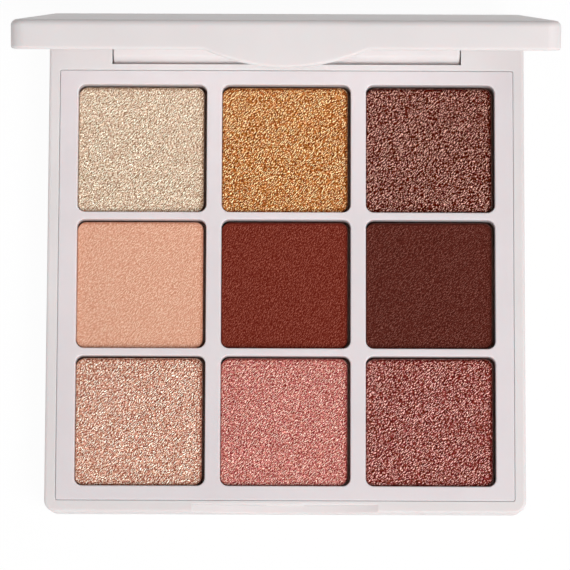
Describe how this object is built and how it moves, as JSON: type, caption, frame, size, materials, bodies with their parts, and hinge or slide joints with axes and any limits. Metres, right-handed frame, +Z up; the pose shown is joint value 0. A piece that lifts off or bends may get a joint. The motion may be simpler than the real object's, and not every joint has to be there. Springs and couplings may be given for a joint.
{
  "type": "eyeshadow palette",
  "caption": "Square hinged makeup palette with a mirrored lid, thumb lip and a grid of square pressed powders in metal pans.",
  "frame": {"origin": "centre of the base's flat underside", "axes": "+Z up from the table, +X to the right along the hinge axis, +Y from the thumb scoop to the hinge"},
  "size_m": [0.096, 0.1016, 0.0989],
  "materials": {
    "case_plastic": "satin moulded plastic",
    "inner_plastic": "satin moulded plastic",
    "mirror_glass": "silvered glass",
    "adhesive": "matt adhesive",
    "steel": "ground steel",
    "tinplate": "bright tinplate",
    "powder_rose_champagne": "pressed shimmer powder",
    "powder_coral_pink": "pressed shimmer powder",
    "powder_burgundy_rose": "pressed shimmer powder",
    "powder_peach": "pressed matte powder",
    "powder_brick": "pressed matte powder",
    "powder_espresso": "pressed matte powder",
    "powder_champagne": "pressed shimmer powder",
    "powder_gold": "pressed shimmer powder",
    "powder_bronze_plum": "pressed shimmer powder"
  },
  "bodies": {
    "base": {"base_shell": "case_plastic", "pan_tray": "inner_plastic", "pan_adhesive": "adhesive", "hinge_pin_left": "steel", "hinge_pin_right": "steel", "pan_front_left": "tinplate", "shadow_front_left": "powder_rose_champagne", "pan_front_centre": "tinplate", "shadow_front_centre": "powder_coral_pink", "pan_front_right": "tinplate", "shadow_front_right": "powder_burgundy_rose", "pan_middle_left": "tinplate", "shadow_middle_left": "powder_peach", "pan_middle_centre": "tinplate", "shadow_middle_centre": "powder_brick", "pan_middle_right": "tinplate", "shadow_middle_right": "powder_espresso", "pan_back_left": "tinplate", "shadow_back_left": "powder_champagne", "pan_back_centre": "tinplate", "shadow_back_centre": "powder_gold", "pan_back_right": "tinplate", "shadow_back_right": "powder_bronze_plum"},
    "lid": {"lid_cover": "case_plastic", "mirror_frame": "inner_plastic", "mirror": "mirror_glass", "mirror_tape": "adhesive"}
  },
  "joints": [
    {"name": "lid_hinge", "type": "hinge", "parent": "base", "child": "lid", "pos_m": [0, 0.0453, 0.0063], "axis": [-1, 0, 0], "range_deg": [-77.4, 32.6]}
  ]
}
